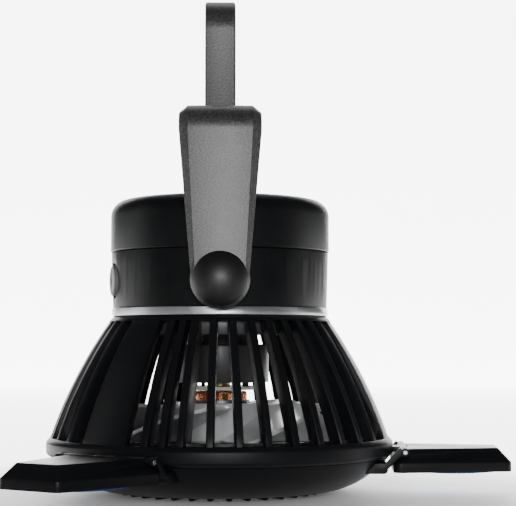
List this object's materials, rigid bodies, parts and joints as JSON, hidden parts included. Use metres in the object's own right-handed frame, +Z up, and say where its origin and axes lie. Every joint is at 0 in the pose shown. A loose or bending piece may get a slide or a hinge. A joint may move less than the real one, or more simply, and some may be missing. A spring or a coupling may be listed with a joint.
{
  "type": "camping fan lantern",
  "caption": "Portable round fan with a battery housing above it, fold-out lamp wings round its rim, and a swinging carry handle with a folding hook.",
  "frame": {"origin": "centre of the flat bottom of the front grille, which the lantern stands on", "axes": "+Z up along the fan's axis, towards the hook; the handle's pivot line is along Y, and the hook folds about a line along X"},
  "size_m": [0.2276, 0.2507, 0.236],
  "materials": {
    "grille_plastic": "satin moulded black",
    "ring_plastic": "satin moulded dark grey",
    "cage_plastic": "satin moulded dark grey",
    "housing_plastic": "semi-matte moulded black",
    "handle_plastic": "fine-grained black",
    "knob_plastic": "semi-gloss black",
    "wing_plastic": "satin black",
    "motor_plastic": "semi-gloss black",
    "fan_plastic": "light grey, smooth moulded",
    "trim_silver": "satin silver paint",
    "lens_blue": "dark blue translucent plastic",
    "button_rubber": "soft grey",
    "switch_plastic": "moulded",
    "tray_plastic": "moulded",
    "washer_nylon": "natural nylon",
    "circuit_board": "green solder mask",
    "motor_board_white": "white solder mask",
    "lamp_board": "white solder mask on aluminium",
    "lamp_phosphor": "yellow phosphor",
    "electronic_parts": "moulded",
    "socket_steel": "stamped",
    "screw_steel": "plated",
    "bearing_steel": "ground",
    "core_steel": "laminated",
    "contact_nickel": "nickel plated",
    "brass_tube": "turned",
    "copper_wire": "enamelled copper wire",
    "magnet_rubber": "bonded ferrite",
    "cell_wrap": "shrink wrap",
    "lead_insulation": "insulation"
  },
  "bodies": {
    "lamp": {"front_grille": "grille_plastic", "outer_ring": "ring_plastic", "grille_screws": "screw_steel", "cage": "cage_plastic", "wing_leads": "lead_insulation", "trim_ring": "trim_silver", "lower_housing": "housing_plastic", "lid": "housing_plastic", "housing_screws": "screw_steel", "switch_board": "circuit_board", "power_switch": "switch_plastic", "control_board": "circuit_board", "board_parts": "electronic_parts", "charge_socket": "socket_steel", "battery_tray": "tray_plastic", "battery_cells": "cell_wrap", "battery_tabs": "contact_nickel", "tray_screws": "screw_steel", "motor_bracket": "motor_plastic", "motor_board": "motor_board_white", "motor_leads": "lead_insulation", "bearing_tube": "brass_tube", "bearings": "bearing_steel", "stator_core": "core_steel", "stator_windings": "copper_wire", "pivot_screws": "screw_steel", "pivot_washers": "washer_nylon", "pivot_nuts": "screw_steel", "wing_bracket_1": "ring_plastic", "wing_pin_1": "bearing_steel", "wing_bracket_2": "ring_plastic", "wing_pin_2": "bearing_steel", "wing_bracket_3": "ring_plastic", "wing_pin_3": "bearing_steel"},
    "handle": {"handle": "handle_plastic", "pivot_knobs": "knob_plastic", "hook_pin": "bearing_steel"},
    "hook": {"hook": "handle_plastic"},
    "fan_rotor": {"fan": "fan_plastic", "rotor_cup": "core_steel", "rotor_magnet": "magnet_rubber", "motor_shaft": "bearing_steel", "shaft_clip": "switch_plastic"},
    "button": {"button": "button_rubber"},
    "wing_1": {"wing_cover_1": "wing_plastic", "wing_board_1": "lamp_board", "wing_leds_1": "lamp_phosphor", "wing_screws_1": "screw_steel", "wing_lens_1": "lens_blue"},
    "wing_2": {"wing_cover_2": "wing_plastic", "wing_board_2": "lamp_board", "wing_leds_2": "lamp_phosphor", "wing_screws_2": "screw_steel", "wing_lens_2": "lens_blue"},
    "wing_3": {"wing_cover_3": "wing_plastic", "wing_board_3": "lamp_board", "wing_leds_3": "lamp_phosphor", "wing_screws_3": "screw_steel", "wing_lens_3": "lens_blue"}
  },
  "joints": [
    {"name": "handle_swing", "type": "hinge", "parent": "lamp", "child": "handle", "pos_m": [0, 0, 0.0991], "axis": [0, 1, 0], "range_deg": [-90, 90]},
    {"name": "hook_fold", "type": "hinge", "parent": "handle", "child": "hook", "pos_m": [0, -0.014, 0.1804], "axis": [1, 0, 0], "range_deg": [0, 90]},
    {"name": "fan_spin", "type": "hinge", "parent": "lamp", "child": "fan_rotor", "pos_m": [0, 0, 0.03], "axis": [0, 0, 1], "continuous": true},
    {"name": "button_press", "type": "slide", "parent": "lamp", "child": "button", "axis": [0.9703, 0.2419, 0], "range_m": [0, 0.001], "stiffness_N_per_m": 500, "springref_m": -0.001},
    {"name": "wing_1_fold", "type": "hinge", "parent": "lamp", "child": "wing_1", "pos_m": [0.08703, -0.00685, 0.0205], "axis": [-0.0785, -0.9969, 0], "range_deg": [0, 115]},
    {"name": "wing_2_fold", "type": "hinge", "parent": "lamp", "child": "wing_2", "pos_m": [-0.03758, 0.0788, 0.0205], "axis": [0.9026, 0.4305, 0], "range_deg": [0, 115]},
    {"name": "wing_3_fold", "type": "hinge", "parent": "lamp", "child": "wing_3", "pos_m": [-0.04945, -0.07195, 0.0205], "axis": [-0.8241, 0.5664, 0], "range_deg": [0, 115]}
  ]
}
